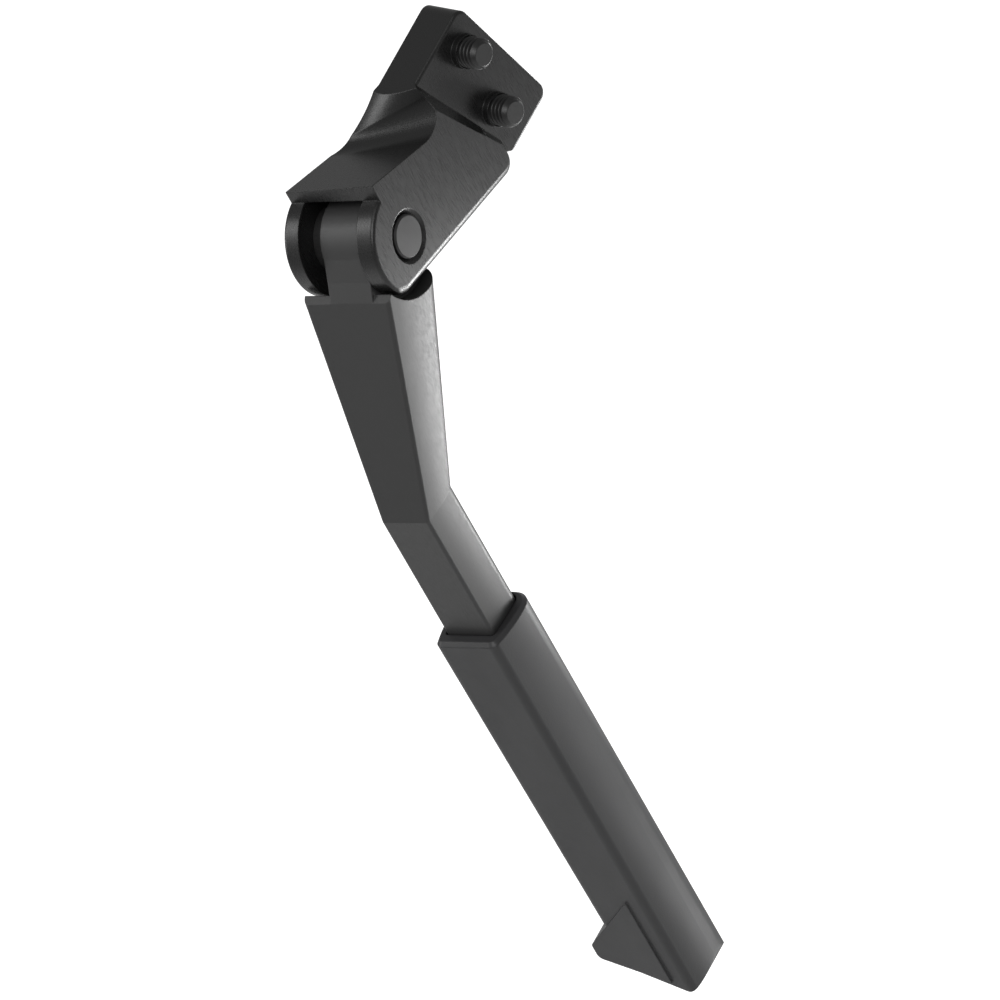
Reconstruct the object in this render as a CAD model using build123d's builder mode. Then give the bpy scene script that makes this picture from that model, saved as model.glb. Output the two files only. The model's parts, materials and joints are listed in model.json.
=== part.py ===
from build123d import *
import math
import os

# Bicycle rear kickstand: a cast head bolts to the frame by two studs and carries a fork,
# a cast leg turns on the pin through that fork, and a moulded foot slides on the leg's bar.
# Origin: on the mounting face, midway between the studs. The studs point to -Y, +Z is up
# from the lower stud to the upper one, and the fork reaches out towards -X.

# Studs and mounting plate
stud_pitch = 18.0
stud_diameter = 7.6
stud_neck_diameter = 7.0
stud_reach = 7.0
stud_tip_chamfer = 1.1
collar_diameter = 8.4
collar_height = 1.8
plate_thickness = 11.6
plate_tilt = 17.0
plate_corner_radius = 3.0
plate_edge_radius = 0.8
plate_top_length = 29.4
plate_right = 10.1
plate_top = 16.6
plate_bottom = 20.2
bolt_hole_clearance = 0.15
bolt_head_diameter = 11.0
bolt_head_height = 4.5
bolt_head_sunk = 0.4
bolt_socket_size = 5.0
bolt_socket_depth = 2.6
counterbore_clearance = 0.3
lock_washer_thickness = 1.6
lock_washer_wall = 1.3
lock_washer_gap = 1.5

# Fork of the head, in planes square to the hinge pin
hinge_back = 48.1
hinge_behind_face = 1.2
hinge_drop = 7.9
hinge_skew = 14.5
near_cheek_outside = 13.5
near_cheek_thickness = 5.0
far_cheek_outside = 13.0
far_cheek_thickness = 4.4
cheek_rim_radius = 0.9
cheek_lower_radius = 2.3
fork_nose_radius = 13.7
fork_nose_from = 101.0
fork_nose_to = 222.5
roof_front_height = 17.9
roof_far_height = 16.5
roof_fall = 15.6
roof_thickness = 3.0
fork_underside_front = 10.0
fork_underside_fall = 7.3
fork_end = 43.8
fork_end_radius = 4.0
fork_chin_offset = 1.5
saddle_near_centre = 22.0
saddle_near_radius = 8.4
saddle_near_turn = 82.0
saddle_far_centre = 18.1
saddle_far_radius = 7.8
ledge_angle = 37.0
ledge_left = 16.3
ledge_top = 12.4
ledge_right = 0.7
ledge_bottom = 21.3
back_slope_start = 16.6
back_slope_end = 18.0

# Hinge pin and what runs on it
pin_diameter = 10.0
pin_head_diameter = 10.5
pin_ring_diameter = 13.0
pin_clearance = 0.05
pin_flat_depth = 0.5
pin_chamfer = 0.4
circlip_thickness = 1.0
circlip_diameter = 15.0
circlip_groove_depth = 0.6
circlip_opening = 50.0
pin_end_land = 1.2
bush_wall = 1.5
bush_gap = 0.25
barrel_diameter = 21.0
barrel_room = 1.1
barrel_width = 12.5
near_washer_thickness = 0.5
washer_side_clearance = 0.05
washer_bore_clearance = 0.15
washer_diameter = 16.0

# Leg
fold_range = 90.0
scoop_clearance = 1.1
leg_top_back = 15.5
leg_top_drop = 6.9
leg_top_front = 12.4
leg_top_middle = 13.0
leg_top_back_half = 12.6
leg_top_depth = 22.0
leg_top_crown = 0.6
leg_top_corner = 1.0
leg_top_back_radius = 6.0
leg_land_rise = 30.0
leg_blank_above = 14.0
bar_front = 34.4
bend_drop = 59.6
bar_front_half = 6.9
bar_middle_half = 7.25
bar_back_half = 6.95
bar_depth = 13.85
bar_crown = 0.3
bar_corner = 0.8
bar_back_radius = 3.0
bar_end_drop = 178.0
bar_end_chamfer = 0.6
knuckle_top_angle = 136.0
knuckle_crease_back = 12.9
knuckle_crease_drop = 2.7
neck_back = 6.5
neck_back_drop = 12.5
neck_root_drop = 22.0
stop_clearance = 0.3
plunger_diameter = 5.0
plunger_length = 11.0
plunger_stem_diameter = 2.4
plunger_stem_length = 6.0
plunger_clearance = 0.1
plunger_tip_clearance = 0.15
plunger_tip_chamfer = 0.6
spring_wire = 0.8
spring_turns = 7
spring_length = 24.0
spring_side_clearance = 0.15

# Foot
foot_slide_range = 30.0
foot_front_wall = 3.25
foot_clearance = 0.35
foot_front_half = 8.7
foot_middle_half = 10.4
foot_back_half = 9.9
foot_depth = 19.3
foot_crown = 0.5
foot_corner = 2.2
foot_back_radius = 5.5
foot_toe_narrowing = 0.7
foot_rim_drop = 96.7
foot_rim_chamfer = 1.0
sole_drop = 216.1
sole_slant = 28.5
toe_start_side = 3.4
toe_start_drop = 186.9
toe_reach = 14.9
toe_end_height = 4.8
toe_depth = 12.0
toe_corner_radius = 2.0
sole_edge_radius = 3.0
foot_floor_gap = 2.0
foot_screw_drop = 150.0
foot_screw_diameter = 5.0
foot_screw_head_diameter = 8.4
foot_screw_head_height = 1.6
foot_screw_edge_radius = 0.5
foot_screw_grip = 8.0
foot_screw_socket_size = 3.0
foot_screw_socket_depth = 1.1
foot_track_clearance = 0.3
foot_track_floor = 1.0
foot_slot_clearance = 0.4
foot_stack_gap = 0.1

os.makedirs("parts", exist_ok=True)
overcut = 10.0

# Hinge axes: across runs along the fork away from its nose, pin_way along the pin to the
# side of the studs, and both lie level.
skew = math.radians(hinge_skew)
across = Vector(math.cos(skew), math.sin(skew), 0)
pin_way = Vector(math.sin(skew), -math.cos(skew), 0)
hinge = Vector(-hinge_back, hinge_behind_face, -hinge_drop)
fork_plane = Plane(origin=hinge, x_dir=across, z_dir=pin_way)


def at(q, z, w=0.0):
    """Gives the point q along the fork, z above the hinge and w along the pin."""
    return hinge + across * q + Vector(0, 0, z) + pin_way * w


def level_plane(q, z):
    """Gives a level plane at a place in the fork's mid plane, x along the pin, y along the fork."""
    return Plane(origin=at(q, z), x_dir=pin_way, z_dir=(0, 0, 1))


def rise(length, degrees):
    """Gives how far a slope of so many degrees climbs over a length."""
    return length * math.tan(math.radians(degrees))


def on_circle(radius, degrees):
    """Gives the point of a circle round the hinge at so many degrees."""
    angle = math.radians(degrees)
    return (radius * math.cos(angle), radius * math.sin(angle))


near_slot = near_cheek_outside - near_cheek_thickness
far_slot = far_cheek_outside - far_cheek_thickness
barrel_near = near_slot - near_washer_thickness - 2 * washer_side_clearance
barrel_far = barrel_near - barrel_width
barrel_middle = barrel_near - barrel_width / 2

# Line of the leg's flat front, from the land at its top to the bend
leg_top = Vector(-leg_top_back, -leg_top_drop)
leg_bend = Vector(-bar_front, -bend_drop)
leg_up = (leg_top - leg_bend).normalized()
leg_length = (leg_top - leg_bend).length
leg_up_way = across * leg_up.X + Vector(0, 0, leg_up.Y)
leg_angle = math.degrees(math.atan2(-leg_up.Y, -leg_up.X))

# Levels of the bolts in the plate
head_sink = bolt_head_sunk + bolt_head_height + lock_washer_thickness
bolt_seat = plate_thickness - head_sink
bolt_hole_diameter = stud_diameter + 2 * bolt_hole_clearance
counterbore_diameter = bolt_head_diameter + 2 * counterbore_clearance
lean = math.radians(plate_tilt)


def plate_point(along, down):
    """Gives a point of the mounting face in the axes of the leaned plate, from the studs' middle."""
    x = along * math.cos(lean) + down * math.sin(lean)
    z = along * math.sin(lean) - down * math.cos(lean)
    return (x, z)


def face_plane(behind, x=0.0, z=0.0):
    """Gives a plane parallel to the mounting face, behind it, looking to the studs' side."""
    return Plane(origin=(x, behind, z), x_dir=(1, 0, 0), z_dir=(0, -1, 0))


stud_heights = {"upper": stud_pitch / 2, "lower": -stud_pitch / 2}


# Cutter that shapes the roof: a slope from the nose, then a hollow that rises to the plate
def saddle_profile(height, centre, radius, turn):
    """Draws the slope from a height at the nose, the arc that follows it and the room above them."""
    start_q = centre - radius * math.sin(math.radians(roof_fall))
    start_z = height - rise(start_q - nose_top[0], roof_fall)
    middle_z = start_z + radius * math.cos(math.radians(roof_fall))
    front = (nose_top[0] - overcut, height + rise(overcut, roof_fall))
    arc = CenterArc((centre, middle_z), radius, 270 - roof_fall, roof_fall + turn)
    end = arc @ 1
    far = end + Vector(math.cos(math.radians(turn)), math.sin(math.radians(turn))) * 5 * overcut
    top = roof_front_height + 7 * overcut
    Line(front, arc @ 0)
    Polyline(end, far, (far.X, top), (front[0], top), front)


nose_top = on_circle(fork_nose_radius, fork_nose_from)
with BuildPart() as saddle_cut:
    with BuildSketch(fork_plane.offset(-far_cheek_outside - overcut / 10)):
        with BuildLine():
            saddle_profile(roof_far_height, saddle_far_centre, saddle_far_radius, plate_tilt)
        make_face()
    with BuildSketch(fork_plane.offset(near_cheek_outside + overcut / 10)):
        with BuildLine():
            saddle_profile(roof_front_height, saddle_near_centre, saddle_near_radius, saddle_near_turn)
        make_face()
    loft(ruled=True)

# Head: one casting with the fork, the plate, the ledge beside the face and the stud collars
nose_bottom = on_circle(fork_nose_radius, fork_nose_to)
chin = (nose_bottom[0] + fork_chin_offset, -fork_underside_front)
underside_end = -fork_underside_front - rise(fork_end - chin[0], fork_underside_fall)
head_top = plate_top + hinge_drop + overcut
slot_back = neck_back + stop_clearance
ring_depth = (pin_ring_diameter - pin_head_diameter) / 2
ledge_low = Vector(-ledge_right, 0, -ledge_bottom)
ledge_way = (Vector(-ledge_left, 0, ledge_top) - ledge_low).normalized()
ledge_plane = Plane(origin=ledge_low, x_dir=(0, -1, 0), z_dir=ledge_way)
ledge_room = near_cheek_outside + overcut
back_start = at(back_slope_start, 0, -far_cheek_outside)
back_end = Vector(-back_slope_end, plate_thickness)
back_far = back_end + Vector(4 * overcut, 0)
back_way = (back_end - Vector(back_start.X, back_start.Y)).normalized()
back_near = Vector(back_start.X, back_start.Y) - back_way * overcut
plate_left = hinge_back


def roof_inside(q):
    """Gives the height of the roof's inner side, which falls away as its outer side does."""
    return roof_far_height - roof_thickness - rise(q - nose_top[0], roof_fall)


with BuildPart() as head:
    with BuildSketch(fork_plane.offset(-far_cheek_outside)) as fork_outline:
        with BuildLine():
            CenterArc((0, 0), fork_nose_radius, fork_nose_from, fork_nose_to - fork_nose_from)
            Polyline(nose_bottom, chin, (fork_end, underside_end), (fork_end, head_top),
                     (nose_top[0], head_top), nose_top)
        make_face()
        fillet(fork_outline.vertices().sort_by(Axis.X)[-2:].sort_by(Axis.Y)[0], fork_end_radius)
    extrude(amount=far_cheek_outside + near_cheek_outside)
    near_face = head.faces().filter_by(Axis(hinge, pin_way)).sort_by(lambda face: face.center().dot(pin_way))[-1]
    low_rim = near_face.outer_wire().edges().sort_by(Axis.Z)
    side_rim = near_face.outer_wire().edges().sort_by(lambda edge: (edge @ 0.5).dot(across))
    fillet([*low_rim[:2], side_rim[1], side_rim[-1]], cheek_lower_radius)
    cheek_faces = head.faces().filter_by(Axis(hinge, pin_way)).sort_by(lambda face: face.center().dot(pin_way))
    far_rim = cheek_faces[0].outer_wire().edges().sort_by(lambda edge: (edge @ 0.5).dot(across))
    near_rim = cheek_faces[-1].outer_wire().edges().sort_by(lambda edge: (edge @ 0.5).dot(across))
    fillet([near_rim[0], *far_rim[:4]], cheek_rim_radius)
    with BuildSketch(face_plane(plate_thickness)) as plate_outline:
        with BuildLine():
            Polyline(plate_point(-plate_left, -plate_top), plate_point(plate_right, -plate_top),
                     plate_point(plate_right, plate_bottom), (-ledge_right, -ledge_bottom),
                     (-ledge_left, -ledge_top), plate_point(-plate_left, -plate_top))
        make_face()
        fillet(plate_outline.vertices().sort_by(Axis.X)[-2:], plate_corner_radius)
    extrude(amount=plate_thickness)
    with BuildSketch(face_plane(-ledge_room)):
        with BuildLine():
            Polyline(plate_point(-plate_top_length, -plate_top), plate_point(plate_left, -plate_top),
                     plate_point(plate_left, -plate_top - plate_left),
                     plate_point(-plate_top_length, -plate_top - plate_left),
                     plate_point(-plate_top_length, -plate_top))
        make_face()
    extrude(amount=-3 * ledge_room, mode=Mode.SUBTRACT)
    add(saddle_cut.part, mode=Mode.SUBTRACT)
    with BuildSketch(ledge_plane):
        with BuildLine():
            Polyline((0, 0), (ledge_room, -rise(ledge_room, ledge_angle)), (ledge_room, 4 * overcut),
                     (0, 4 * overcut), (0, 0))
        make_face()
    extrude(amount=5 * overcut, both=True, mode=Mode.SUBTRACT)
    with BuildSketch(Plane.XY.offset(-4 * overcut)):
        with BuildLine():
            Polyline(back_near, back_end, back_far, (back_far.X, 4 * overcut),
                     (back_near.X, 4 * overcut), back_near)
        make_face()
    extrude(amount=8 * overcut, mode=Mode.SUBTRACT)
    face_edges = head.faces().filter_by(Axis.Y).sort_by(Axis.Y)[0].outer_wire().edges()
    fillet([edge for edge in face_edges if ledge_plane.to_local_coords(edge.center()).Y > plate_edge_radius],
           plate_edge_radius)
    with BuildSketch(fork_plane.offset(-far_slot)):
        with BuildLine():
            Polyline((-hinge_back, roof_inside(-hinge_back)), (slot_back, roof_inside(slot_back)),
                     (slot_back, -hinge_back), (-hinge_back, -hinge_back),
                     (-hinge_back, roof_inside(-hinge_back)))
        make_face()
        Circle(barrel_diameter / 2 + barrel_room)
    extrude(amount=far_slot + near_slot, mode=Mode.SUBTRACT)
    with BuildSketch(fork_plane.offset(near_slot)):
        Circle(pin_head_diameter / 2)
    extrude(amount=near_cheek_thickness, mode=Mode.SUBTRACT)
    with BuildSketch(fork_plane.offset(-far_cheek_outside - overcut / 10)):
        Circle(pin_diameter / 2)
    extrude(amount=far_cheek_thickness + overcut / 5, mode=Mode.SUBTRACT)
    with BuildSketch(fork_plane.offset(near_cheek_outside - ring_depth)):
        Circle(pin_head_diameter / 2)
    with BuildSketch(fork_plane.offset(near_cheek_outside)):
        Circle(pin_ring_diameter / 2)
    loft(mode=Mode.SUBTRACT)
    for height in stud_heights.values():
        with BuildSketch(face_plane(0, 0, height)):
            Circle(collar_diameter / 2)
        extrude(amount=collar_height)
        with BuildSketch(face_plane(plate_thickness, 0, height)):
            Circle(bolt_hole_diameter / 2)
        extrude(amount=plate_thickness + collar_height, mode=Mode.SUBTRACT)
        with BuildSketch(face_plane(bolt_seat, 0, height)):
            Circle(counterbore_diameter / 2)
        extrude(amount=-head_sink - overcut, mode=Mode.SUBTRACT)

head.part.label = "head"
export_step(head.part, "parts/head.step")

# Bolts through the plate, heads sunk in its back, with a split lock washer under each head
for place, height in stud_heights.items():
    with BuildPart() as mount_bolt:
        with BuildSketch(face_plane(-stud_reach, 0, height)):
            Circle(stud_diameter / 2)
        extrude(amount=-stud_reach)
        chamfer(mount_bolt.faces().sort_by(Axis.Y)[0].edges(), stud_tip_chamfer)
        with BuildSketch(face_plane(0, 0, height)):
            Circle(stud_neck_diameter / 2)
        extrude(amount=-bolt_seat - lock_washer_thickness)
        with BuildSketch(face_plane(bolt_seat + lock_washer_thickness, 0, height)):
            Circle(bolt_head_diameter / 2)
        extrude(amount=-bolt_head_height)
        head_face = mount_bolt.faces().sort_by(Axis.Y)[-1]
        chamfer(head_face.edges(), bolt_head_sunk)
        with BuildSketch(face_plane(bolt_seat + lock_washer_thickness + bolt_head_height, 0, height)):
            RegularPolygon(bolt_socket_size / 2, 6, major_radius=False)
        extrude(amount=bolt_socket_depth, mode=Mode.SUBTRACT)
    mount_bolt.part.label = "mount_bolt_" + place
    export_step(mount_bolt.part, "parts/mount_bolt_" + place + ".step")
    with BuildPart() as lock_washer:
        with BuildSketch(face_plane(bolt_seat, 0, height)):
            Circle(bolt_hole_diameter / 2 + lock_washer_wall)
            Circle(bolt_hole_diameter / 2, mode=Mode.SUBTRACT)
            with Locations((bolt_head_diameter / 2, 0)):
                Rectangle(bolt_head_diameter, lock_washer_gap, mode=Mode.SUBTRACT)
        extrude(amount=-lock_washer_thickness)
    lock_washer.part.label = "lock_washer_" + place
    export_step(lock_washer.part, "parts/lock_washer_" + place + ".step")

# Hinge pin, flush with the near cheek, with two flats for the leg's plunger and a ring groove
plunger_way = leg_up_way * -1
folded_angle = math.radians(leg_angle - fold_range)
folded_way = across * math.cos(folded_angle) + Vector(0, 0, math.sin(folded_angle))
circlip_far = -far_cheek_outside - washer_side_clearance - circlip_thickness
groove_diameter = pin_diameter - 2 * circlip_groove_depth
with BuildPart() as pivot_pin:
    with BuildSketch(fork_plane.offset(circlip_far - pin_end_land)):
        Circle(pin_diameter / 2)
    extrude(amount=near_slot - circlip_far + pin_end_land)
    with BuildSketch(fork_plane.offset(near_slot)):
        Circle(pin_head_diameter / 2)
    extrude(amount=near_cheek_thickness)
    end_faces = pivot_pin.faces().sort_by(lambda face: face.center().dot(pin_way))
    chamfer([*end_faces[0].edges(), *end_faces[-1].edges()], pin_chamfer)
    with BuildSketch(fork_plane.offset(circlip_far)):
        Circle(pin_diameter)
        Circle(groove_diameter / 2, mode=Mode.SUBTRACT)
    extrude(amount=circlip_thickness, mode=Mode.SUBTRACT)
    for way in (plunger_way, folded_way):
        flat_middle = hinge + pin_way * barrel_middle + way * (pin_diameter / 2 - pin_flat_depth)
        with BuildSketch(Plane(origin=flat_middle, x_dir=pin_way, z_dir=way)):
            Rectangle(plunger_diameter + 1, pin_diameter)
        extrude(amount=pin_diameter, mode=Mode.SUBTRACT)
pivot_pin.part.label = "pivot_pin"
export_step(pivot_pin.part, "parts/pivot_pin.step")

with BuildPart() as pin_circlip:
    with BuildSketch(fork_plane.offset(circlip_far)):
        Circle(circlip_diameter / 2)
        Circle(groove_diameter / 2, mode=Mode.SUBTRACT)
        with Locations((circlip_diameter / 2, 0)):
            Rectangle(circlip_diameter, rise(circlip_diameter / 2, circlip_opening / 2), mode=Mode.SUBTRACT)
    extrude(amount=circlip_thickness)
pin_circlip.part.label = "pin_circlip"
export_step(pin_circlip.part, "parts/pin_circlip.step")

# Thrust washers between the leg's barrel and the two cheeks
washer_levels = {
    "near": (barrel_near + washer_side_clearance, near_washer_thickness),
    "far": (washer_side_clearance - far_slot, far_slot + barrel_far - 2 * washer_side_clearance),
}
for place, (level, thickness) in washer_levels.items():
    with BuildPart() as thrust_washer:
        with BuildSketch(fork_plane.offset(level)):
            Circle(washer_diameter / 2)
            Circle(pin_diameter / 2 + washer_bore_clearance, mode=Mode.SUBTRACT)
        extrude(amount=thickness)
    thrust_washer.part.label = "thrust_washer_" + place
    export_step(thrust_washer.part, "parts/thrust_washer_" + place + ".step")

# Leg: tapered casting with a flat front and a round back, scooped at the top to clear the
# cheeks, a neck and barrel between them, and a straight bar below the bend
plunger_bore = plunger_diameter + 2 * plunger_clearance
bush_diameter = pin_diameter + 2 * pin_clearance + 2 * bush_wall
bush_length = barrel_width / 2 - plunger_bore / 2 - bush_gap
bar_middle = bar_front - (bar_depth - bar_crown) / 2
screw_axis = Plane(origin=at(-bar_middle, -foot_screw_drop, -bar_middle_half), x_dir=across, z_dir=pin_way * -1)
scoop_radius = fork_nose_radius + scoop_clearance
plunger_start = pin_diameter / 2 + plunger_tip_clearance
spring_start = plunger_start + plunger_length
blank_top = leg_top + leg_up * leg_blank_above
land = math.radians(leg_land_rise)
land_way = Vector(math.cos(land), math.sin(land))
land_up = Vector(-math.sin(land), math.cos(land))
knuckle_top = on_circle(barrel_diameter / 2, knuckle_top_angle)
knuckle_crease = (-knuckle_crease_back, -knuckle_crease_drop)


def leg_section(front, middle, back, depth, crown):
    """Draws a flat front, gently curved sides and a crowned back, from the front's middle."""
    side_end = depth - crown
    Line((-front, 0), (front, 0))
    ThreePointArc((front, 0), (middle, side_end / 2), (back, side_end))
    ThreePointArc((back, side_end), (0, depth), (-back, side_end))
    ThreePointArc((-back, side_end), (-middle, side_end / 2), (-front, 0))


def round_section(section, front_radius, back_radius):
    """Rounds the two front corners and the two back corners of a section."""
    fillet(section.vertices().sort_by(Axis.Y)[:2], front_radius)
    fillet(section.vertices().sort_by(Axis.Y)[-2:], back_radius)


def past_top(top_size, bar_size):
    """Gives a size of the leg's section where its blank ends, above the land."""
    return top_size + (top_size - bar_size) * leg_blank_above / leg_length


with BuildPart() as leg:
    with BuildSketch(Plane(origin=at(blank_top.X, blank_top.Y), x_dir=pin_way, z_dir=leg_up_way)) as blank_end:
        with BuildLine():
            leg_section(past_top(leg_top_front, bar_front_half), past_top(leg_top_middle, bar_middle_half),
                        past_top(leg_top_back_half, bar_back_half), past_top(leg_top_depth, bar_depth),
                        past_top(leg_top_crown, bar_crown))
        make_face()
        round_section(blank_end, leg_top_corner, leg_top_back_radius)
    with BuildSketch(level_plane(-bar_front, -bend_drop)) as bend_section:
        with BuildLine():
            leg_section(bar_front_half, bar_middle_half, bar_back_half, bar_depth, bar_crown)
        make_face()
        round_section(bend_section, bar_corner, bar_back_radius)
    loft(ruled=True)
    with BuildSketch(fork_plane.offset(-bar_front)):
        Circle(scoop_radius)
        with BuildLine():
            Polyline(leg_top - land_way * bar_front, leg_top + land_way * 2 * bar_front,
                     leg_top + land_way * 2 * bar_front + land_up * bar_front,
                     leg_top - land_way * bar_front + land_up * bar_front,
                     leg_top - land_way * bar_front)
        make_face()
    extrude(amount=2 * bar_front, mode=Mode.SUBTRACT)
    with BuildSketch(level_plane(-bar_front, -bar_end_drop)) as bar_section:
        with BuildLine():
            leg_section(bar_front_half, bar_middle_half, bar_back_half, bar_depth, bar_crown)
        make_face()
        round_section(bar_section, bar_corner, bar_back_radius)
    extrude(amount=bar_end_drop - bend_drop)
    chamfer(leg.faces().sort_by(Axis.Z)[0].edges(), bar_end_chamfer)
    with BuildSketch(fork_plane.offset(barrel_far)):
        Circle(barrel_diameter / 2)
        with BuildLine():
            Polyline(leg_top, knuckle_crease, knuckle_top, (0, 0), (neck_back, -neck_back),
                     (neck_back, -neck_back_drop), (0, -neck_root_drop), leg_top)
        make_face()
    extrude(amount=barrel_width)
    with BuildSketch(fork_plane.offset(barrel_far)):
        Circle(bush_diameter / 2)
    extrude(amount=barrel_width, mode=Mode.SUBTRACT)
    with BuildSketch(Plane(origin=hinge + pin_way * barrel_middle, x_dir=pin_way, z_dir=plunger_way)):
        Circle(plunger_bore / 2)
    extrude(amount=spring_start + spring_length, mode=Mode.SUBTRACT)
    with BuildSketch(screw_axis.offset(bar_depth)):
        Circle(foot_screw_diameter / 2)
    extrude(amount=-bar_depth - foot_screw_grip, mode=Mode.SUBTRACT)
leg.part.label = "leg"
export_step(leg.part, "parts/leg.step")

# Bushes pressed into the ends of the barrel
for place, level in {"near": barrel_near - bush_length, "far": barrel_far}.items():
    with BuildPart() as bush:
        with BuildSketch(fork_plane.offset(level)):
            Circle(bush_diameter / 2)
            Circle(pin_diameter / 2 + pin_clearance, mode=Mode.SUBTRACT)
        extrude(amount=bush_length)
    bush.part.label = "bush_" + place
    export_step(bush.part, "parts/bush_" + place + ".step")

# Plunger and spring in the leg's bore, which snap onto the pin's flats at each end of the fold
plunger_axis = Plane(origin=hinge + pin_way * barrel_middle, x_dir=pin_way, z_dir=plunger_way)
with BuildPart() as detent_plunger:
    with BuildSketch(plunger_axis.offset(plunger_start)):
        Circle(plunger_diameter / 2)
    extrude(amount=plunger_length)
    tip = detent_plunger.faces().sort_by(lambda face: face.center().dot(plunger_way))[0]
    chamfer(tip.edges(), plunger_tip_chamfer)
    with BuildSketch(plunger_axis.offset(spring_start)):
        Circle(plunger_stem_diameter / 2)
    extrude(amount=plunger_stem_length)
detent_plunger.part.label = "detent_plunger"
export_step(detent_plunger.part, "parts/detent_plunger.step")

coil_radius = plunger_bore / 2 - spring_side_clearance - spring_wire / 2
coil_height = spring_length - spring_wire
coil_pitch = coil_height / spring_turns
coil_start = plunger_axis.offset(spring_start + spring_wire / 2).origin
with BuildPart() as detent_spring:
    with BuildLine():
        coil = Helix(coil_pitch, coil_height, coil_radius, center=coil_start, direction=plunger_way)
    with BuildSketch(Plane(origin=coil @ 0, z_dir=coil % 0)):
        Circle(spring_wire / 2)
    sweep(is_frenet=True)
detent_spring.part.label = "detent_spring"
export_step(detent_spring.part, "parts/detent_spring.step")

# Foot: moulded sleeve over the bar, with a slanted sole, a toe on the far side, and a
# slotted track in its far side for the clamp screw
foot_front = bar_front + foot_clearance + foot_front_wall
cavity_front = bar_front + foot_clearance
cavity_depth = bar_depth + 2 * foot_clearance
sole_end = sole_drop + rise(2 * toe_reach, sole_slant)
toe_end = sole_drop - rise(toe_reach, sole_slant) - toe_end_height
track_floor = bar_middle_half + foot_clearance + foot_track_floor
track_width = foot_screw_head_diameter + 2 * foot_track_clearance
slot_width = foot_screw_diameter + 2 * foot_slot_clearance
slot_middle = foot_screw_drop - foot_slide_range / 2
sole_side = foot_middle_half + foot_stack_gap


def sole_height(w):
    """Gives the height of the slanted sole at w along the pin."""
    return -sole_drop - rise(w, sole_slant)


with BuildPart() as foot_sleeve:
    with BuildSketch(level_plane(-foot_front, -foot_rim_drop)) as rim_section:
        with BuildLine():
            leg_section(foot_front_half, foot_middle_half, foot_back_half, foot_depth, foot_crown)
        make_face()
        round_section(rim_section, foot_corner, foot_back_radius)
    with BuildSketch(level_plane(foot_toe_narrowing - foot_front, -sole_end)) as end_section:
        with BuildLine():
            leg_section(foot_front_half - foot_toe_narrowing, foot_middle_half, foot_back_half,
                        foot_depth - foot_toe_narrowing, foot_crown)
        make_face()
        round_section(end_section, foot_corner, foot_back_radius)
    loft(ruled=True)
    chamfer(foot_sleeve.faces().sort_by(Axis.Z)[-1].edges(), foot_rim_chamfer)
    with BuildSketch(Plane(origin=at(toe_depth - foot_front, 0), x_dir=pin_way, z_dir=across * -1)) as toe_outline:
        with BuildLine():
            Polyline((-toe_reach, -toe_end), (toe_start_side, -toe_start_drop), (toe_start_side, -sole_drop),
                     (-toe_reach, sole_height(-toe_reach)), (-toe_reach, -toe_end))
        make_face()
        fillet(toe_outline.vertices().sort_by(Axis.X)[:2], toe_corner_radius)
    extrude(amount=toe_depth)
    with BuildSketch(Plane(origin=at(0, 0), x_dir=pin_way, z_dir=across * -1)) as sole_outline:
        with BuildLine():
            Polyline((-2 * toe_reach, sole_height(-2 * toe_reach)),
                     (sole_side, sole_height(sole_side)), (sole_side, 0),
                     (2 * toe_reach, 0), (2 * toe_reach, -2 * sole_end), (-2 * toe_reach, -2 * sole_end),
                     (-2 * toe_reach, sole_height(-2 * toe_reach)))
        make_face()
        fillet(sole_outline.vertices().sort_by_distance((sole_side, sole_height(sole_side)))[0], sole_edge_radius)
    extrude(amount=foot_front, both=True, mode=Mode.SUBTRACT)
    with BuildSketch(level_plane(-cavity_front, -foot_rim_drop)) as cavity_section:
        with BuildLine():
            leg_section(bar_front_half + foot_clearance, bar_middle_half + foot_clearance,
                        bar_back_half + foot_clearance, cavity_depth, bar_crown)
        make_face()
        round_section(cavity_section, bar_corner, bar_back_radius)
    extrude(amount=foot_rim_drop - bar_end_drop - foot_floor_gap, mode=Mode.SUBTRACT)
    with BuildSketch(Plane(origin=at(-bar_middle, -slot_middle, -track_floor), x_dir=across, z_dir=pin_way * -1)):
        SlotCenterToCenter(foot_slide_range, track_width, rotation=90)
    extrude(amount=foot_middle_half, mode=Mode.SUBTRACT)
    with BuildSketch(Plane(origin=at(-bar_middle, -slot_middle, -track_floor), x_dir=across, z_dir=pin_way * -1)):
        SlotCenterToCenter(foot_slide_range, slot_width, rotation=90)
    extrude(amount=-bar_middle_half, mode=Mode.SUBTRACT)
foot_sleeve.part.label = "foot_sleeve"
export_step(foot_sleeve.part, "parts/foot_sleeve.step")

# Clamp screw of the foot, held by the bar
head_seat = screw_axis.offset(foot_clearance + foot_track_floor + foot_stack_gap)
with BuildPart() as foot_screw:
    with BuildSketch(head_seat):
        Circle(foot_screw_head_diameter / 2)
    extrude(amount=foot_screw_head_height)
    screw_face = foot_screw.faces().sort_by(lambda face: face.center().dot(pin_way))[0]
    fillet(screw_face.edges(), foot_screw_edge_radius)
    with BuildSketch(head_seat):
        Circle(foot_screw_diameter / 2)
    extrude(amount=-foot_screw_grip)
    with BuildSketch(head_seat.offset(foot_screw_head_height)):
        RegularPolygon(foot_screw_socket_size / 2, 6, major_radius=False)
    extrude(amount=-foot_screw_socket_depth, mode=Mode.SUBTRACT)
foot_screw.part.label = "foot_screw"
export_step(foot_screw.part, "parts/foot_screw.step")
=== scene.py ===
"""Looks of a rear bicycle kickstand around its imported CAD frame.

The stand is a black coated cast head with a slotted fork, a satin folding leg and a matt
moulded foot. The CAD nodes keep their shapes and get their finishes here. The two threaded
studs are new surfaces, because their thread is finer than the CAD solids carry.
"""

from __future__ import annotations

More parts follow.
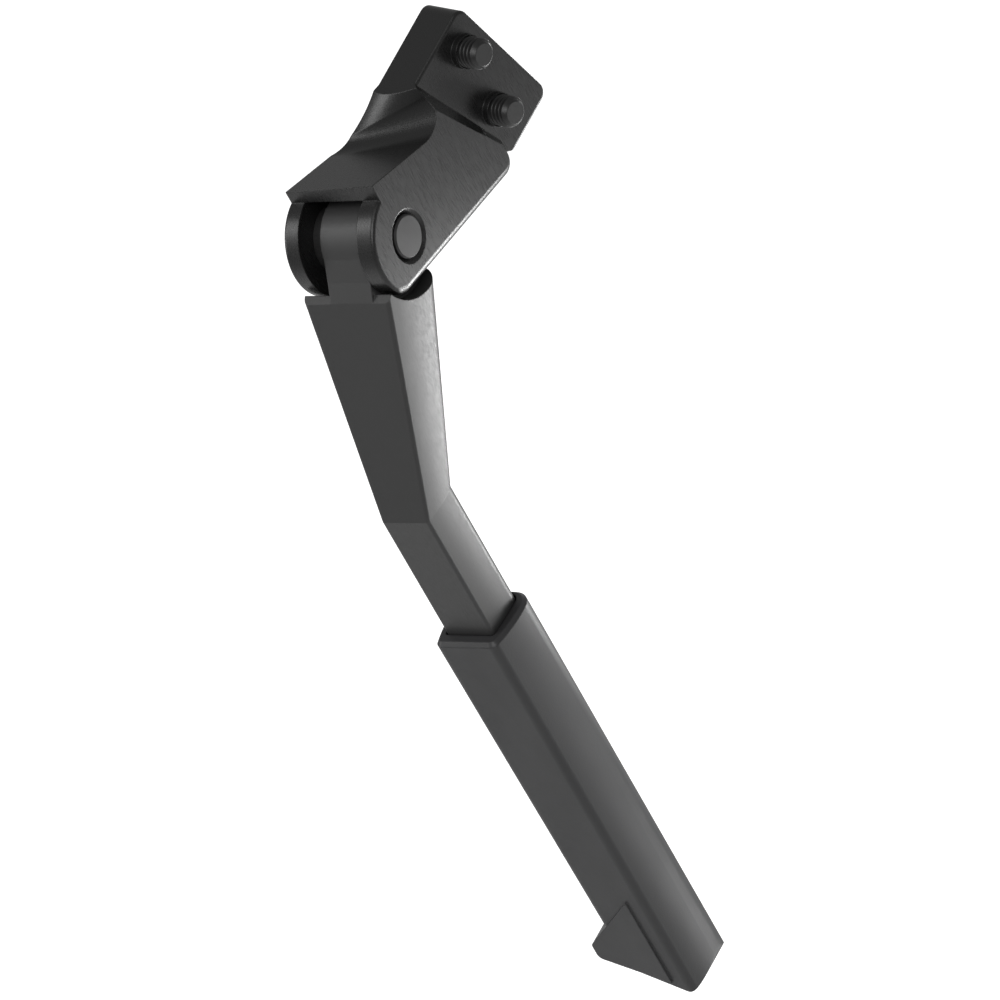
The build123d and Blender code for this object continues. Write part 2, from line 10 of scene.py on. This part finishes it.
import json
import logging
import math
from collections.abc import Iterable, Mapping
from dataclasses import dataclass, field
from enum import Enum

import bpy
import numpy as np
from mathutils import Matrix, Vector

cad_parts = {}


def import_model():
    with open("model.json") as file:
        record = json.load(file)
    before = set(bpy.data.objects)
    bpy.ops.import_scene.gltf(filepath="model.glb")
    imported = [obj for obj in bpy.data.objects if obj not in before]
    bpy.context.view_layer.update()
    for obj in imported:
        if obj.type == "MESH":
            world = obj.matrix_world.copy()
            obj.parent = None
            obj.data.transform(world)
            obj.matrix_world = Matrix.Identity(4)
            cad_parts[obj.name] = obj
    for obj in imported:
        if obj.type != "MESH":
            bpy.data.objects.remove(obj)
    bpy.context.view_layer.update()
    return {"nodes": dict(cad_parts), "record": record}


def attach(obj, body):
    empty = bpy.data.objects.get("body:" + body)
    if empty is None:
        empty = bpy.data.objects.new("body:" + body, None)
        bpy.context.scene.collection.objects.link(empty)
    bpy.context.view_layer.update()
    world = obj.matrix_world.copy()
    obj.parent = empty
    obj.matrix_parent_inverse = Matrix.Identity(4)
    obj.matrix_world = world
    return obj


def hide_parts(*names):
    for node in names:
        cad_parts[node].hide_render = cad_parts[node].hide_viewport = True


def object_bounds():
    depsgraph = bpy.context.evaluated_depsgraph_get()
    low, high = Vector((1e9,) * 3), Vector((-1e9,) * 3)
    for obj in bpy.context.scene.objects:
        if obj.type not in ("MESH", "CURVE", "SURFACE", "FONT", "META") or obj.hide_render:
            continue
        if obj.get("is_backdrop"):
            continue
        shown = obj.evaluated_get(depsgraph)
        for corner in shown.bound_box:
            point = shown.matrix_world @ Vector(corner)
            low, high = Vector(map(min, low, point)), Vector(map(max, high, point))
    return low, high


LOG = logging.getLogger("kickstand")
MM = 0.001
WHITE = (1.0, 1.0, 1.0, 1.0)
NOISE_LOW = 0.3
NOISE_HIGH = 0.7
NOISE_ROUGHNESS = 0.6
BEVEL_SAMPLES = 6
EVEN = (1.0, 1.0, 1.0)


class Body(Enum):
    """Names of the bodies that new pieces ride on."""

    HEAD = "head"


class Slot(Enum):
    """Names of the record's material slots."""

    CAST_HEAD = "cast_head"
    CAST_LEG = "cast_leg"
    BLACK_STEEL = "black_steel"
    PIN_STEEL = "pin_steel"
    NYLON = "washer_nylon"
    BRONZE = "bush_bronze"
    SPRING = "spring_steel"
    FOOT = "foot_moulding"


def linear_colour(code: str) -> tuple[float, float, float, float]:
    """Turns an sRGB hex code into the linear colour that a shader takes.

    Args:
        code: six hex digits with a leading number sign.

    Returns:
        Red, green and blue from 0 to 1, and an alpha of 1.
    """
    raw = np.array([int(code[i : i + 2], 16) for i in (1, 3, 5)]) / 255.0
    low = raw / 12.92
    high = ((raw + 0.055) / 1.055) ** 2.4
    red, green, blue = np.where(raw <= 0.04045, low, high)
    return float(red), float(green), float(blue), 1.0


def add_node(
    tree: bpy.types.NodeTree,
    kind: str,
    settings: Mapping[str, object] | None = None,
    inputs: Mapping[str | int, object] | None = None,
) -> bpy.types.Node:
    """Adds one node, sets its properties and fills its inputs.

    Args:
        tree: the node tree that takes the node.
        kind: the node's type name.
        settings: properties of the node itself, by name.
        inputs: inputs by name or number, each a value or an output socket.

    Returns:
        The new node.
    """
    node = tree.nodes.new(kind)
    for name, value in (settings or {}).items():
        setattr(node, name, value)
    for name, value in (inputs or {}).items():
        if isinstance(value, bpy.types.NodeSocket):
            tree.links.new(value, node.inputs[name])
        else:
            node.inputs[name].default_value = value
    return node


def new_material(name: str) -> tuple[bpy.types.Material, bpy.types.NodeTree]:
    """Makes an empty material.

    Args:
        name: the finish's name.

    Returns:
        The material and its node tree.
    """
    material = bpy.data.materials.new(name)
    material.use_nodes = True
    material.node_tree.nodes.clear()
    return material, material.node_tree


def grain(
    tree: bpy.types.NodeTree, size_mm: float, stretch: tuple[float, float, float], detail: float
) -> bpy.types.NodeSocket:
    """Adds a noise whose grains have a real size, drawn out along an axis of the object.

    Args:
        tree: the material's node tree.
        size_mm: width of a grain.
        stretch: how many times longer than wide a grain is along x, y and z.
        detail: octaves of finer grain.

    Returns:
        The noise's output, from 0 to 1.
    """
    place = add_node(tree, "ShaderNodeTexCoord")
    scale = [1.0 / (size_mm * MM * ratio) for ratio in stretch]
    mapped = add_node(
        tree, "ShaderNodeMapping", inputs={"Vector": place.outputs["Object"], "Scale": scale}
    )
    noise = add_node(
        tree,
        "ShaderNodeTexNoise",
        inputs={
            "Vector": mapped.outputs["Vector"],
            "Scale": 1.0,
            "Detail": detail,
            "Roughness": NOISE_ROUGHNESS,
        },
    )
    return noise.outputs["Fac"]


def swing(
    tree: bpy.types.NodeTree, noise: bpy.types.NodeSocket, middle: float, reach: float
) -> bpy.types.NodeSocket:
    """Turns a noise into a value that swings round a middle.

    Args:
        tree: the material's node tree.
        noise: the noise's output.
        middle: the value's middle.
        reach: how far the value goes to either side over the noise's common range.

    Returns:
        The value's output.
    """
    node = add_node(
        tree,
        "ShaderNodeMapRange",
        inputs={
            "Value": noise,
            "From Min": NOISE_LOW,
            "From Max": NOISE_HIGH,
            "To Min": middle - reach,
            "To Max": middle + reach,
        },
    )
    return node.outputs["Result"]


def soft_edges(tree: bpy.types.NodeTree, radius_mm: float) -> bpy.types.NodeSocket:
    """Adds a normal that is rounded at the edges, so that they catch the light.

    Args:
        tree: the material's node tree.
        radius_mm: the rounding's radius.

    Returns:
        The normal's output.
    """
    node = add_node(
        tree,
        "ShaderNodeBevel",
        settings={"samples": BEVEL_SAMPLES},
        inputs={"Radius": radius_mm * MM},
    )
    return node.outputs["Normal"]


def bump(
    tree: bpy.types.NodeTree,
    height: bpy.types.NodeSocket,
    depth_mm: float,
    normal: bpy.types.NodeSocket,
) -> bpy.types.NodeSocket:
    """Lays a relief of a real depth over a normal.

    Args:
        tree: the material's node tree.
        height: the relief's output, from 0 to 1.
        depth_mm: depth of the relief.
        normal: the normal's output under the relief.

    Returns:
        The new normal's output.
    """
    node = add_node(
        tree,
        "ShaderNodeBump",
        inputs={"Height": height, "Distance": depth_mm * MM, "Normal": normal},
    )
    return node.outputs["Normal"]


def add_surface(tree: bpy.types.NodeTree, colour: str, inputs: Mapping[str, object]) -> None:
    """Ends a material with its shader and its output.

    Args:
        tree: the material's node tree.
        colour: the base colour as an sRGB hex code.
        inputs: the shader's other inputs.
    """
    shader = add_node(
        tree,
        "ShaderNodeBsdfPrincipled",
        inputs={"Base Color": linear_colour(colour), **inputs},
    )
    add_node(tree, "ShaderNodeOutputMaterial", inputs={"Surface": shader.outputs["BSDF"]})


@dataclass(frozen=True)
class CoatedMetal:
    """Black coated metal: a thin even coat whose gloss follows the metal under it.

    The eye sees a dark surface with soft wide highlights, fine lines where the metal was
    ground before coating, and a thin light line where an edge is rounded.
    """

    name: str
    colour: str
    roughness: float
    roughness_swing: float = 0.06
    line_mm: float = 0.25
    line_stretch: tuple[float, float, float] = (1.0, 1.0, 14.0)
    line_detail: float = 2.0
    line_depth_mm: float = 0.006
    cast_mm: float = 1.6
    cast_detail: float = 4.0
    cast_depth_mm: float = 0.004
    edge_mm: float = 0.35

    def build(self) -> bpy.types.Material:
        """Makes the material.

        Returns:
            The finished material.
        """
        material, tree = new_material(self.name)
        lines = grain(tree, self.line_mm, self.line_stretch, self.line_detail)
        cast = grain(tree, self.cast_mm, EVEN, self.cast_detail)
        edges = soft_edges(tree, self.edge_mm)
        cast_relief = bump(tree, cast, self.cast_depth_mm, edges)
        relief = bump(tree, lines, self.line_depth_mm, cast_relief)
        rough = swing(tree, lines, self.roughness, self.roughness_swing)
        add_surface(tree, self.colour, {"Roughness": rough, "Normal": relief})
        return material


@dataclass(frozen=True)
class MouldedPlastic:
    """Glass-filled nylon moulding with a fine spark-eroded grain.

    The eye sees an even matt grey with a soft sheen at the sides and a sandy grain.
    """

    name: str
    colour: str
    roughness: float
    roughness_swing: float = 0.04
    grain_mm: float = 0.35
    grain_depth_mm: float = 0.02
    cloud_mm: float = 12.0
    cloud_stretch: tuple[float, float, float] = (1.0, 1.0, 2.0)
    detail: float = 2.0
    edge_mm: float = 0.5

    def build(self) -> bpy.types.Material:
        """Makes the material.

        Returns:
            The finished material.
        """
        material, tree = new_material(self.name)
        sand = grain(tree, self.grain_mm, EVEN, self.detail)
        cloud = grain(tree, self.cloud_mm, self.cloud_stretch, self.detail)
        relief = bump(tree, sand, self.grain_depth_mm, soft_edges(tree, self.edge_mm))
        rough = swing(tree, cloud, self.roughness, self.roughness_swing)
        add_surface(tree, self.colour, {"Roughness": rough, "Normal": relief})
        return material


@dataclass(frozen=True)
class BareMetal:
    """Uncoated bronze or spring steel, dull from handling and oil.

    The eye sees the metal's own colour with a broken, slightly cloudy shine.
    """

    name: str
    colour: str
    roughness: float
    roughness_swing: float = 0.08
    cloud_mm: float = 0.8
    cloud_detail: float = 3.0

    def build(self) -> bpy.types.Material:
        """Makes the material.

        Returns:
            The finished material.
        """
        material, tree = new_material(self.name)
        cloud = grain(tree, self.cloud_mm, EVEN, self.cloud_detail)
        rough = swing(tree, cloud, self.roughness, self.roughness_swing)
        add_surface(tree, self.colour, {"Metallic": 1.0, "Roughness": rough})
        return material


@dataclass(frozen=True)
class Finishes:
    """Every finish of the stand, by the record's slot."""

    head: CoatedMetal = CoatedMetal("black_coated_casting", "#1a1a1a", 0.30)
    leg: CoatedMetal = CoatedMetal(
        "satin_coated_casting",
        "#343434",
        0.42,
        line_mm=0.4,
        line_stretch=(1.0, 1.0, 4.0),
        line_depth_mm=0.004,
    )
    fastener: CoatedMetal = CoatedMetal(
        "black_zinc_steel", "#202020", 0.34, line_mm=0.3, line_stretch=EVEN, edge_mm=0.12
    )
    pin: CoatedMetal = CoatedMetal("black_pin_steel", "#262626", 0.34, line_mm=0.2, edge_mm=0.15)
    nylon: MouldedPlastic = MouldedPlastic("black_nylon", "#1c1c1c", 0.5, edge_mm=0.1)
    bronze: BareMetal = BareMetal("sintered_bronze", "#a8865a", 0.42)
    spring: BareMetal = BareMetal("drawn_spring_wire", "#8d8f93", 0.35)
    foot: MouldedPlastic = MouldedPlastic("grained_foot_moulding", "#2e2e2f", 0.46)

    def build(self) -> dict[Slot, bpy.types.Material]:
        """Makes every material.

        Returns:
            Each slot's material.
        """
        by_slot = {
            Slot.CAST_HEAD: self.head,
            Slot.CAST_LEG: self.leg,
            Slot.BLACK_STEEL: self.fastener,
            Slot.PIN_STEEL: self.pin,
            Slot.NYLON: self.nylon,
            Slot.BRONZE: self.bronze,
            Slot.SPRING: self.spring,
            Slot.FOOT: self.foot,
        }
        return {slot: finish.build() for slot, finish in by_slot.items()}


@dataclass(frozen=True)
class Rings:
    """A closed surface of stacked rings, with a fan of triangles over each end."""

    points: np.ndarray

    def to_object(self, name: str) -> bpy.types.Object:
        """Turns the rings into a smoothly shaded mesh object.

        A grid of m rings by n points gives quads between neighbouring rings, and a fan of
        triangles closes each end on the mean of its ring.

        Args:
            name: the object's name.

        Returns:
            The object, linked to the scene.
        """
        count_rings, count_round, _ = self.points.shape
        poles = np.stack([self.points[0].mean(axis=0), self.points[-1].mean(axis=0)])
        vertices = np.concatenate([self.points.reshape(-1, 3), poles])
        ring, step = np.meshgrid(
            np.arange(count_rings - 1), np.arange(count_round), indexing="ij"
        )
        after = (step + 1) % count_round
        quads = np.stack(
            [
                ring * count_round + step,
                ring * count_round + after,
                (ring + 1) * count_round + after,
                (ring + 1) * count_round + step,
            ],
            axis=-1,
        ).reshape(-1, 4)
        around = np.arange(count_round)
        around_after = (around + 1) % count_round
        first_pole = np.full(count_round, count_rings * count_round)
        last = (count_rings - 1) * count_round
        first_fan = np.stack([first_pole, around_after, around], axis=-1)
        last_fan = np.stack([first_pole + 1, last + around, last + around_after], axis=-1)
        loops = np.concatenate([quads.ravel(), first_fan.ravel(), last_fan.ravel()])
        sizes = np.concatenate([np.full(len(quads), 4), np.full(2 * count_round, 3)])
        starts = np.concatenate([[0], np.cumsum(sizes)[:-1]])
        mesh = bpy.data.meshes.new(name)
        mesh.vertices.add(len(vertices))
        mesh.vertices.foreach_set("co", vertices.ravel())
        mesh.loops.add(len(loops))
        mesh.loops.foreach_set("vertex_index", loops)
        mesh.polygons.add(len(sizes))
        mesh.polygons.foreach_set("loop_start", starts)
        mesh.polygons.foreach_set("use_smooth", np.full(len(sizes), True))
        mesh.update(calc_edges=True)
        mesh.validate()
        piece = bpy.data.objects.new(name, mesh)
        bpy.context.scene.collection.objects.link(piece)
        return piece


@dataclass
class ThreadedStud:
    """One of the two mounting bolts, from its threaded tip to the socket in its head."""

    place: str
    height_mm: float
    radius_mm: float = 3.8
    neck_radius_mm: float = 3.5
    tip_mm: float = -7.0
    tip_chamfer_mm: float = 1.1
    tip_rim_share: float = 0.97
    centre_share: float = 0.3
    seat_mm: float = 6.7
    pitch_mm: float = 1.25
    depth_mm: float = 0.72
    groove_width: float = 1.7
    crest_flat: float = 0.12
    thread_end_mm: float = 0.0
    thread_fade_mm: float = 1.6
    head_radius_mm: float = 5.5
    head_height_mm: float = 4.5
    head_chamfer_mm: float = 0.4
    socket_mm: float = 5.0
    socket_depth_mm: float = 2.6
    socket_lead_mm: float = 0.12
    rim_mm: float = 0.1
    crease_mm: float = 0.05
    points_round: int = 96
    rings_per_turn: int = 18

    def thread_radius(self, y: np.ndarray, angle: np.ndarray) -> np.ndarray:
        """Works out the stud's radius over its threaded length.

        The phase is how far a point is between two crests: the distance from the tip over
        the pitch, less the angle's share of a turn. The groove is a rounded V, one less the
        cosine of the phase, made wider and cut off so that the crest and the root stay
        flat for a little of the pitch. It fades to nothing towards the plate, and a cone
        caps it at the tip.

        Args:
            y: distances along the bolt in mm, one per ring.
            angle: angles round the bolt in radians.

        Returns:
            Radii in mm, one per ring and angle.
        """
        phase = (y[:, None] - self.tip_mm) / self.pitch_mm - angle[None, :] / (2 * math.pi)
        valley = (1.0 - np.cos(2 * math.pi * phase)) / self.groove_width - self.crest_flat
        groove = np.clip(valley, 0.0, 1.0)
        fade = np.clip((self.thread_end_mm - y) / self.thread_fade_mm, 0.0, 1.0)[:, None]
        thread = self.radius_mm - self.depth_mm * groove * fade
        cone = self.radius_mm - self.tip_chamfer_mm + (y - self.tip_mm)[:, None]
        return np.minimum(thread, cone)

    def points(self) -> np.ndarray:
        """Works out every ring of the bolt from tip to socket floor.

        Two rings a crease apart keep each edge sharp under smooth shading. The socket's
        rings are hexagons: half the socket's width over the cosine of the angle to the
        nearest flat's middle.

        Returns:
            Points in metres, rings by angles by three.
        """
        angle = np.linspace(0.0, 2 * math.pi, self.points_round, endpoint=False)
        turns = (self.thread_end_mm - self.tip_mm) / self.pitch_mm
        thread_y = np.linspace(self.tip_mm, self.thread_end_mm, int(turns * self.rings_per_turn))
        thread_r = self.thread_radius(thread_y, angle)
        sixth = math.pi / 3
        socket = self.socket_mm / 2 / np.cos((angle + sixth / 2) % sixth - sixth / 2)
        head_top = self.seat_mm + self.head_height_mm
        head_side = head_top - self.head_chamfer_mm
        head_flat = self.head_radius_mm - self.head_chamfer_mm
        floor = head_top - self.socket_depth_mm
        tip_r = self.radius_mm - self.tip_chamfer_mm
        crease = self.crease_mm
        ones = np.ones_like(angle)
        before = [
            (self.tip_mm, self.centre_share * tip_r * ones),
            (self.tip_mm, self.tip_rim_share * tip_r * ones),
        ]
        behind = [
            (self.thread_end_mm, (self.neck_radius_mm + crease) * ones),
            (self.thread_end_mm + crease, self.neck_radius_mm * ones),
            (self.seat_mm - crease, self.neck_radius_mm * ones),
            (self.seat_mm, (self.neck_radius_mm + crease) * ones),
            (self.seat_mm, (self.head_radius_mm - crease) * ones),
            (self.seat_mm + crease, self.head_radius_mm * ones),
            (head_side, self.head_radius_mm * ones),
            (head_side + crease, (self.head_radius_mm - crease) * ones),
            (head_top, head_flat * ones),
            (head_top, (head_flat - self.rim_mm) * ones),
            (head_top, socket + self.socket_lead_mm),
            (head_top - self.rim_mm, socket),
            (floor, socket),
            (floor, socket - crease),
            (floor, self.centre_share * socket),
        ]
        y = np.concatenate([[at for at, _ in before], thread_y, [at for at, _ in behind]])
        r = np.concatenate([[out for _, out in before], thread_r, [out for _, out in behind]])
        x = r * np.cos(angle)[None, :]
        z = -r * np.sin(angle)[None, :] + self.height_mm
        return np.stack([x, np.broadcast_to(y[:, None], x.shape), z], axis=-1) * MM

    def build(self, finish: bpy.types.Material) -> bpy.types.Object:
        """Makes the bolt in place of its CAD node.

        Args:
            finish: the coated steel.

        Returns:
            The new piece.
        """
        piece = Rings(self.points()).to_object("threaded_bolt_" + self.place)
        piece.data.materials.append(finish)
        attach(piece, Body.HEAD.value)
        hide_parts("mount_bolt_" + self.place)
        return piece


@dataclass
class Stand:
    """The whole kickstand: its CAD nodes' finishes and its two threaded bolts."""

    finishes: dict[Slot, bpy.types.Material]
    bolt_heights_mm: dict[str, float] = field(
        default_factory=lambda: {"upper": 9.0, "lower": -9.0}
    )

    def dress(
        self, nodes: Mapping[str, bpy.types.Object], subparts: Iterable[Mapping[str, str]]
    ) -> None:
        """Gives each CAD node the finish of its slot.

        Args:
            nodes: the CAD nodes by name.
            subparts: the record's list of nodes and their slots.
        """
        for part in subparts:
            node = nodes[part["node"]]
            node.data.materials.clear()
            node.data.materials.append(self.finishes[Slot(part["material_slot"])])
            LOG.info("node %s has the finish %s", node.name, part["material_slot"])

    def build(self) -> list[bpy.types.Object]:
        """Makes the pieces that stand for CAD nodes.

        Returns:
            The new pieces.
        """
        finish = self.finishes[Slot.BLACK_STEEL]
        return [
            ThreadedStud(place, height).build(finish)
            for place, height in self.bolt_heights_mm.items()
        ]


@dataclass(frozen=True)
class Viewpoint:
    """The camera of the photograph, as three directions and a place."""

    right: tuple[float, float, float] = (0.616932, -0.672408, -0.408978)
    up: tuple[float, float, float] = (0.671220, 0.178210, 0.719517)
    back: tuple[float, float, float] = (-0.410925, -0.718407, 0.561277)
    place_mm: tuple[float, float, float] = (-659.4, -1062.5, 740.6)
    lens_mm: float = 221.25
    sensor_mm: float = 36.0
    nearest: float = 0.05
    farthest: float = 30.0

    def direction(self, right: float, up: float, back: float) -> Vector:
        """Gives a direction from its shares along the view's own three directions.

        Args:
            right: share towards the picture's right.
            up: share towards the picture's top.
            back: share from the stand towards the camera.

        Returns:
            The direction in the frame, of any length.
        """
        return Vector(self.right) * right + Vector(self.up) * up + Vector(self.back) * back

    def build(self) -> bpy.types.Object:
        """Makes the camera and sets it as the scene's.

        Returns:
            The camera.
        """
        data = bpy.data.cameras.new("view")
        data.lens = self.lens_mm
        data.sensor_width = self.sensor_mm
        data.sensor_fit = "HORIZONTAL"
        data.clip_start = self.nearest
        data.clip_end = self.farthest
        camera = bpy.data.objects.new("view", data)
        axes = Matrix((self.right, self.up, self.back)).transposed().to_4x4()
        camera.matrix_world = Matrix.Translation(Vector(self.place_mm) * MM) @ axes
        bpy.context.scene.collection.objects.link(camera)
        bpy.context.scene.camera = camera
        return camera


@dataclass(frozen=True)
class Softbox:
    """One soft rectangular lamp that faces a point on the stand.

    Its place is given by a direction and a distance from that point. Its size is its width
    and height. All lengths are in metres, and the power is in watts.
    """

    name: str
    target: Vector
    direction: Vector
    distance: float
    size: tuple[float, float]
    power: float

    def build(self) -> bpy.types.Object:
        """Makes the lamp, which the camera itself doesn't see.

        Returns:
            The lamp.
        """
        data = bpy.data.lights.new(self.name, "AREA")
        data.shape = "RECTANGLE"
        data.size, data.size_y = self.size
        data.energy = self.power
        lamp = bpy.data.objects.new(self.name, data)
        away = self.direction.normalized()
        place = Matrix.Translation(self.target + away * self.distance)
        lamp.matrix_world = place @ away.to_track_quat("Z", "Y").to_matrix().to_4x4()
        lamp.visible_camera = False
        bpy.context.scene.collection.objects.link(lamp)
        return lamp


@dataclass(frozen=True)
class Studio:
    """A white floor below the hung stand, soft lamps and an even grey room."""

    view: Viewpoint
    floor_colour: str = "#f4f4f4"
    floor_drop: float = 0.20
    floor_reach: float = 12.0
    room_strength: float = 0.28
    floor_glow: float = 0.8
    floor_reflected_glow: float = 0.15
    cheek_mm: tuple[float, float, float] = (-25.0, -12.0, -10.0)

    def seen_strength(
        self, tree: bpy.types.NodeTree, unseen: float, seen: float
    ) -> bpy.types.NodeSocket:
        """Adds a strength that the camera sees otherwise than the stand does.

        Args:
            tree: the node tree of a surface or of the world.
            unseen: the strength for every other ray.
            seen: the strength for the camera's own rays.

        Returns:
            The strength's output.
        """
        path = add_node(tree, "ShaderNodeLightPath")
        strength = add_node(
            tree,
            "ShaderNodeMapRange",
            inputs={"Value": path.outputs["Is Camera Ray"], "To Min": unseen, "To Max": seen},
        )
        return strength.outputs["Result"]

    def floor(self, level: float) -> bpy.types.Object:
        """Makes the floor, white to the camera and grey in reflections, with soft shadows.

        Args:
            level: height of the floor.

        Returns:
            The floor.
        """
        mesh = bpy.data.meshes.new("floor")
        corners = np.array([[-1, -1], [1, -1], [1, 1], [-1, 1]], float) * self.floor_reach
        mesh.from_pydata([(x, y, level) for x, y in corners], [], [(0, 1, 2, 3)])
        piece = bpy.data.objects.new("floor", mesh)
        bpy.context.scene.collection.objects.link(piece)
        material, tree = new_material("white_floor")
        strength = self.seen_strength(tree, self.floor_reflected_glow, self.floor_glow)
        glow = add_node(
            tree, "ShaderNodeEmission", inputs={"Color": WHITE, "Strength": strength}
        )
        paint = add_node(
            tree, "ShaderNodeBsdfDiffuse", inputs={"Color": linear_colour(self.floor_colour)}
        )
        both = add_node(
            tree,
            "ShaderNodeAddShader",
            inputs={0: paint.outputs["BSDF"], 1: glow.outputs["Emission"]},
        )
        add_node(tree, "ShaderNodeOutputMaterial", inputs={"Surface": both.outputs["Shader"]})
        mesh.materials.append(material)
        piece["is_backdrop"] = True
        return piece

    def room(self) -> None:
        """Sets the world to an even grey that the camera sees as white."""
        world = bpy.data.worlds.new("room")
        bpy.context.scene.world = world
        world.use_nodes = True
        tree = world.node_tree
        tree.nodes.clear()
        strength = self.seen_strength(tree, self.room_strength, 1.0)
        glow = add_node(
            tree, "ShaderNodeBackground", inputs={"Color": WHITE, "Strength": strength}
        )
        add_node(tree, "ShaderNodeOutputWorld", inputs={"Surface": glow.outputs["Background"]})

    def lamps(self, middle: Vector) -> tuple[Softbox, ...]:
        """Lists the lamps.

        The back softbox draws the light line down the leg's and foot's right side, and the
        cheek strip brightens the fork's near cheek towards its lower edge. The others fill.

        Args:
            middle: the middle of the stand.

        Returns:
            The lamps, none of them made yet.
        """
        along = self.view.direction
        cheek = Vector(self.cheek_mm) * MM
        return (
            Softbox(
                "back_softbox",
                middle,
                along(0.45, 0.02, -0.88),
                distance=0.9,
                size=(0.25, 0.9),
                power=5.6,
            ),
            Softbox(
                "low_strip",
                middle,
                along(0.80, -0.45, -0.45),
                distance=0.34,
                size=(0.08, 0.14),
                power=0.25,
            ),
            Softbox(
                "front_softbox",
                middle,
                along(-0.25, 0.15, 1.0),
                distance=1.6,
                size=(0.9, 0.9),
                power=8.0,
            ),
            Softbox(
                "top_softbox",
                middle,
                Vector((-0.3, -0.2, 1.0)),
                distance=1.1,
                size=(0.8, 0.8),
                power=1.4,
            ),
            Softbox(
                "left_fill",
                middle,
                along(-0.95, 0.1, 0.1),
                distance=1.0,
                size=(0.3, 0.9),
                power=3.2,
            ),
            Softbox(
                "cheek_strip",
                cheek,
                along(0.90, -0.27, -0.56),
                distance=0.2,
                size=(0.04, 0.08),
                power=0.24,
            ),
        )

    def build(self, bounds: tuple[Iterable[float], Iterable[float]]) -> None:
        """Makes the floor, the room and the lamps.

        Args:
            bounds: lowest and highest corner of the stand.
        """
        low, high = (Vector(corner) for corner in bounds)
        self.floor(low.z - self.floor_drop)
        self.room()
        lamps = self.lamps((low + high) / 2)
        for lamp in lamps:
            lamp.build()
        LOG.info("studio has %d lamps", len(lamps))


def main() -> None:
    """Loads the frame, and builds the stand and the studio."""
    logging.basicConfig(level=logging.INFO, format="%(name)s: %(message)s")
    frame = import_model()
    bpy.context.scene.view_settings.view_transform = "Standard"
    view = Viewpoint()
    view.build()
    stand = Stand(Finishes().build())
    stand.dress(frame["nodes"], frame["record"]["subparts"])
    for piece in stand.build():
        LOG.info("piece %s has %d faces", piece.name, len(piece.data.polygons))
    Studio(view).build(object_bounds())


if __name__ == "__main__":
    main()
